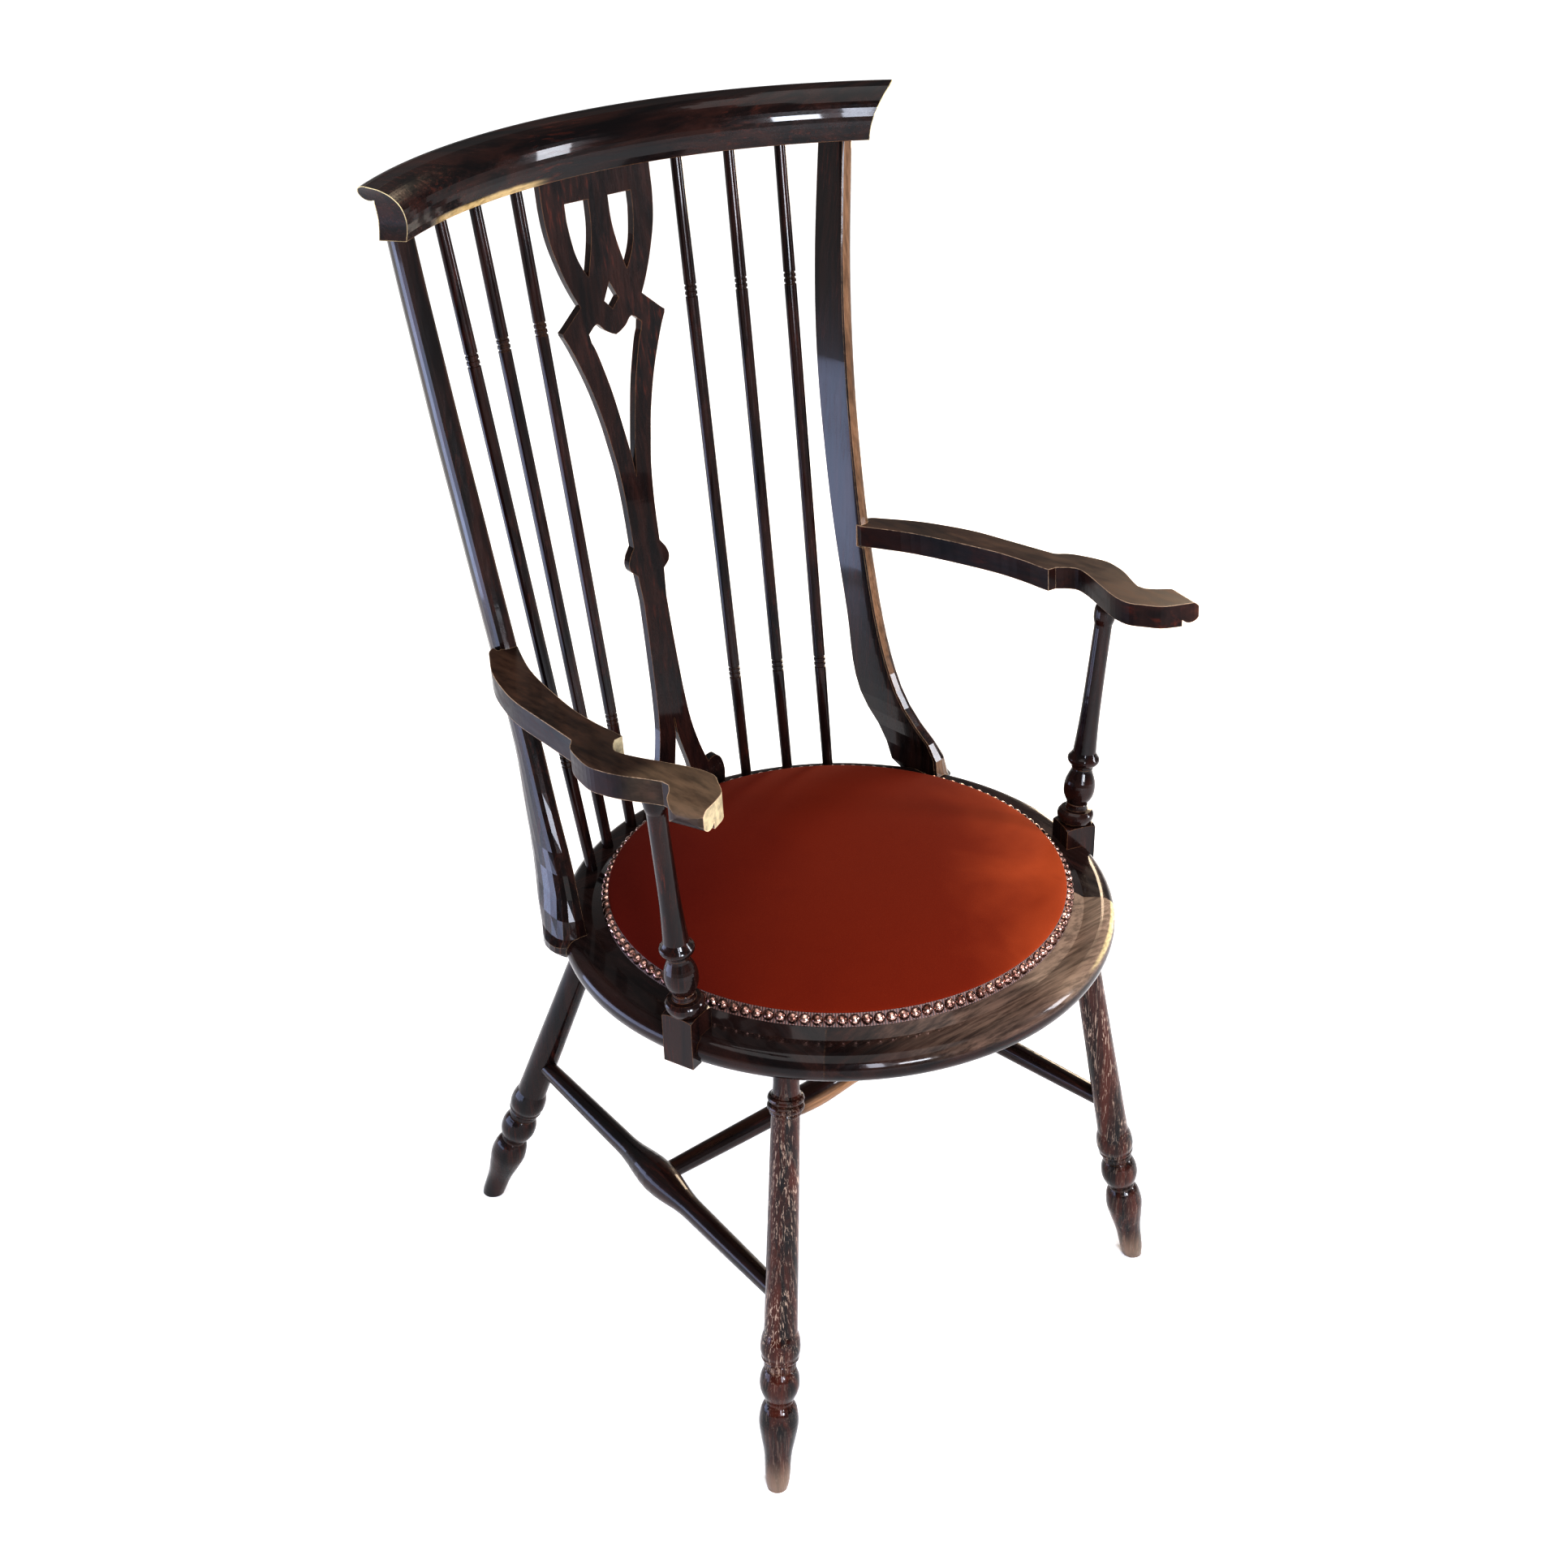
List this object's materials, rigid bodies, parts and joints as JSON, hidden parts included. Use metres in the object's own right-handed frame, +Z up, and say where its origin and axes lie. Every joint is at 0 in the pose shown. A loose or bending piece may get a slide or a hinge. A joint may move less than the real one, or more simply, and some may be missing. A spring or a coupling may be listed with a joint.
{
  "type": "armchair",
  "caption": "High-backed wooden armchair with a round stuffed seat, a fretted splat between turned spindles, shaped arms and splayed turned legs.",
  "frame": {"origin": "on the floor under the middle of the chair's bounding box", "axes": "+Z up, -Y the way the chair faces, +X to the sitter's left"},
  "size_m": [0.5482, 0.563, 1.0429],
  "materials": {
    "wood": "ebonised and polished, worn to brown at the edges",
    "velvet": "rust velvet",
    "braid": "dark braid",
    "nails": "bronzed, worn bright on the domes",
    "webbing": "woven jute",
    "screws": "plain"
  },
  "bodies": {
    "root": {"crest_rail": "wood", "post_left": "wood", "post_right": "wood", "splat": "wood", "spindle_left_outer": "wood", "spindle_left_middle": "wood", "spindle_left_inner": "wood", "spindle_right_inner": "wood", "spindle_right_middle": "wood", "spindle_right_outer": "wood", "arm_left": "wood", "arm_right": "wood", "arm_support_left": "wood", "arm_support_right": "wood", "rim_front": "wood", "rim_left": "wood", "rim_back": "wood", "rim_right": "wood", "leg_front_left": "wood", "leg_front_right": "wood", "leg_back_left": "wood", "leg_back_right": "wood", "stretcher_left": "wood", "stretcher_right": "wood", "stretcher_middle": "wood", "webbing_across": "webbing", "webbing_lengthwise": "webbing", "seat_cushion": "velvet", "seat_trim": "braid", "nails_right": "nails", "nails_back": "nails", "nails_left": "nails", "nails_front": "nails", "screw_post_left": "screws", "screw_post_right": "screws", "screw_block_left": "screws", "screw_block_right": "screws"}
  },
  "joints": []
}
